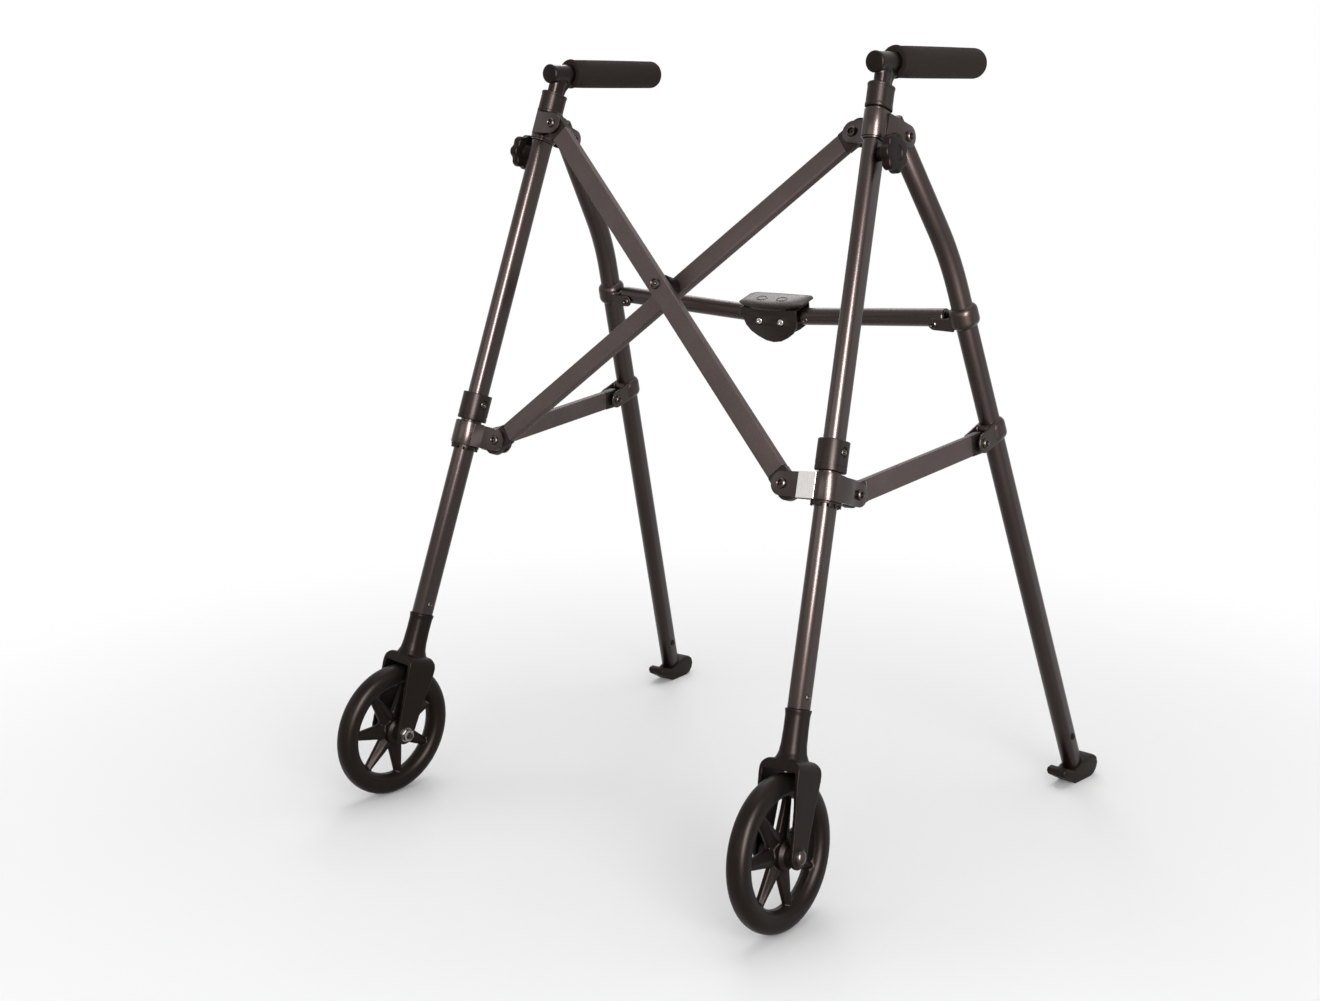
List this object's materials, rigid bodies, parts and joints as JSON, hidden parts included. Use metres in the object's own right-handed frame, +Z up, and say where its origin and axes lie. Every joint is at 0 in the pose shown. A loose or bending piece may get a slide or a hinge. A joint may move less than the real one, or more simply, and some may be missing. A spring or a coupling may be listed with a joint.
{
  "type": "folding walker",
  "caption": "Folding walker with front wheels, rear glide feet, height-adjustable foam hand grips, a crossing front brace and a hinged rear crossbar.",
  "frame": {"origin": "centre of the bounding box on the floor", "axes": "+Z up, the user faces and walks towards -Y, +X is the walker's left side"},
  "size_m": [0.6398, 0.6494, 0.8275],
  "materials": {
    "metallic_paint": "satin metallic",
    "black_plastic": "satin",
    "dark_rubber": "matte",
    "foam": "matte foam",
    "bright_steel": "plated",
    "painted_steel": "satin dark"
  },
  "bodies": {
    "left_leg": {"left_front_leg": "metallic_paint", "left_stop_sleeve": "black_plastic", "left_top_bracket": "black_plastic", "left_brace_top_bolt": "bright_steel", "left_rear_leg_bolt": "bright_steel", "left_post_bushing": "black_plastic", "left_wheel_fork": "black_plastic", "left_axle_bolt": "bright_steel"},
    "left_handle": {"left_handle_post": "metallic_paint", "left_handle_grip": "foam", "left_handle_cap": "black_plastic"},
    "left_knob": {"left_height_knob": "black_plastic"},
    "left_wheel": {"left_wheel_rim": "black_plastic", "left_tyre": "dark_rubber"},
    "left_collar": {"left_slide_collar": "painted_steel", "left_collar_liner": "black_plastic", "left_brace_low_bolt": "bright_steel", "left_strut_bolt": "bright_steel"},
    "left_rear_leg": {"left_rear_leg": "metallic_paint", "left_crossbar_ring": "painted_steel", "left_strut_ring": "painted_steel", "left_rear_foot": "black_plastic"},
    "left_strut": {"left_strut": "metallic_paint", "left_strut_upper_plug": "black_plastic", "left_strut_lower_plug": "black_plastic"},
    "left_crossbar": {"left_crossbar_half": "metallic_paint"},
    "right_leg": {"right_front_leg": "metallic_paint", "right_stop_sleeve": "black_plastic", "right_top_bracket": "black_plastic", "right_brace_top_bolt": "bright_steel", "right_rear_leg_bolt": "bright_steel", "right_post_bushing": "black_plastic", "right_wheel_fork": "black_plastic", "right_axle_bolt": "bright_steel"},
    "right_handle": {"right_handle_post": "metallic_paint", "right_handle_grip": "foam", "right_handle_cap": "black_plastic"},
    "right_knob": {"right_height_knob": "black_plastic"},
    "right_wheel": {"right_wheel_rim": "black_plastic", "right_tyre": "dark_rubber"},
    "right_collar": {"right_slide_collar": "painted_steel", "right_collar_liner": "black_plastic", "right_brace_low_bolt": "bright_steel", "right_strut_bolt": "bright_steel"},
    "right_rear_leg": {"right_rear_leg": "metallic_paint", "right_crossbar_ring": "painted_steel", "right_strut_ring": "painted_steel", "right_rear_foot": "black_plastic"},
    "right_strut": {"right_strut": "metallic_paint", "right_strut_upper_plug": "black_plastic", "right_strut_lower_plug": "black_plastic"},
    "right_crossbar": {"right_crossbar_half": "metallic_paint"},
    "front_bar": {"front_brace": "metallic_paint", "front_brace_upper_plug": "black_plastic", "front_brace_lower_plug": "black_plastic"},
    "rear_bar": {"rear_brace": "metallic_paint", "rear_brace_upper_plug": "black_plastic", "rear_brace_lower_plug": "black_plastic", "brace_rivet": "bright_steel"},
    "center_block": {"center_block": "black_plastic"}
  },
  "joints": [
    {"name": "frame_fold", "type": "hinge", "parent": "left_leg", "child": "rear_bar", "pos_m": [0.18853, -0.01665, 0.7394], "axis": [0, -0.9521, 0.3057], "range_deg": [0, 47.77]},
    {"name": "brace_cross", "type": "hinge", "parent": "rear_bar", "child": "front_bar", "pos_m": [0, -0.08672, 0.58173], "axis": [0, -0.9521, 0.3057], "range_deg": [-89.17, 0]},
    {"name": "right_leg_fold", "type": "hinge", "parent": "front_bar", "child": "right_leg", "pos_m": [-0.18853, -0.05283, 0.75102], "axis": [0, -0.9521, 0.3057], "range_deg": [0, 47.78]},
    {"name": "left_collar_turn", "type": "hinge", "parent": "front_bar", "child": "left_collar", "pos_m": [0.20476, -0.1508, 0.40663], "axis": [0, -0.9521, 0.3057], "range_deg": [0, 41.41]},
    {"name": "right_collar_turn", "type": "hinge", "parent": "rear_bar", "child": "right_collar", "pos_m": [-0.20476, -0.13556, 0.40174], "axis": [0, -0.9521, 0.3057], "range_deg": [-41.41, 0]},
    {"name": "left_rear_leg_fold", "type": "hinge", "parent": "left_leg", "child": "left_rear_leg", "pos_m": [0.22559, 0.0031, 0.73585], "axis": [0.9946, -0.0496, 0.0908], "range_deg": [-21.77, 0]},
    {"name": "right_rear_leg_fold", "type": "hinge", "parent": "right_leg", "child": "right_rear_leg", "pos_m": [-0.22559, 0.0031, 0.73585], "axis": [-0.9946, -0.0496, 0.0908], "range_deg": [0, 21.77]},
    {"name": "left_strut_turn", "type": "hinge", "parent": "left_collar", "child": "left_strut", "pos_m": [0.25141, -0.10323, 0.39487], "axis": [0.9946, -0.0496, 0.0908], "range_deg": [0, 43.27]},
    {"name": "right_strut_turn", "type": "hinge", "parent": "right_collar", "child": "right_strut", "pos_m": [-0.25141, -0.10323, 0.39487], "axis": [-0.9946, -0.0496, 0.0908], "range_deg": [-43.27, 0]},
    {"name": "left_crossbar_fold", "type": "hinge", "parent": "left_rear_leg", "child": "left_crossbar", "pos_m": [0.21603, 0.10698, 0.54616], "axis": [0, 0.9466, 0.3223], "range_deg": [0, 85.61]},
    {"name": "right_crossbar_fold", "type": "hinge", "parent": "right_rear_leg", "child": "right_crossbar", "pos_m": [-0.21603, 0.10698, 0.54616], "axis": [0, 0.9466, 0.3223], "range_deg": [-85.61, 0]},
    {"name": "center_block_turn", "type": "hinge", "parent": "left_crossbar", "child": "center_block", "pos_m": [0.015, 0.11091, 0.53461], "axis": [0, 0.9466, 0.3223], "range_deg": [-89.49, 0]},
    {"name": "left_handle_slide", "type": "slide", "parent": "left_leg", "child": "left_handle", "axis": [-0.0715, 0.3049, 0.9497], "range_m": [0, 0.15]},
    {"name": "left_knob_turn", "type": "hinge", "parent": "left_leg", "child": "left_knob", "pos_m": [0.22482, -0.04191, 0.7196], "axis": [0.9974, 0.0219, 0.0681], "range_deg": [0, 360]},
    {"name": "left_wheel_spin", "type": "hinge", "parent": "left_leg", "child": "left_wheel", "pos_m": [0.27325, -0.24843, 0.07638], "axis": [0.9974, 0.0219, 0.0681], "continuous": true},
    {"name": "right_handle_slide", "type": "slide", "parent": "right_leg", "child": "right_handle", "axis": [0.0715, 0.3049, 0.9497], "range_m": [0, 0.15]},
    {"name": "right_knob_turn", "type": "hinge", "parent": "right_leg", "child": "right_knob", "pos_m": [-0.22482, -0.04191, 0.7196], "axis": [-0.9974, 0.0219, 0.0681], "range_deg": [0, 360]},
    {"name": "right_wheel_spin", "type": "hinge", "parent": "right_leg", "child": "right_wheel", "pos_m": [-0.27325, -0.24843, 0.07638], "axis": [-0.9974, 0.0219, 0.0681], "continuous": true}
  ],
  "couplings": [
    {"joint": "brace_cross", "follows": "frame_fold", "ratio": -1.8665},
    {"joint": "right_leg_fold", "follows": "frame_fold", "ratio": 1},
    {"joint": "left_collar_turn", "follows": "frame_fold", "ratio": 0.8665},
    {"joint": "right_collar_turn", "follows": "frame_fold", "ratio": -0.8665},
    {"joint": "left_rear_leg_fold", "follows": "frame_fold", "ratio": -0.45546},
    {"joint": "right_rear_leg_fold", "follows": "frame_fold", "ratio": 0.45546},
    {"joint": "left_strut_turn", "follows": "frame_fold", "ratio": 0.90548},
    {"joint": "right_strut_turn", "follows": "frame_fold", "ratio": -0.90548},
    {"joint": "left_crossbar_fold", "follows": "frame_fold", "ratio": 1.792},
    {"joint": "right_crossbar_fold", "follows": "frame_fold", "ratio": -1.792},
    {"joint": "center_block_turn", "follows": "frame_fold", "ratio": -1.8731}
  ]
}
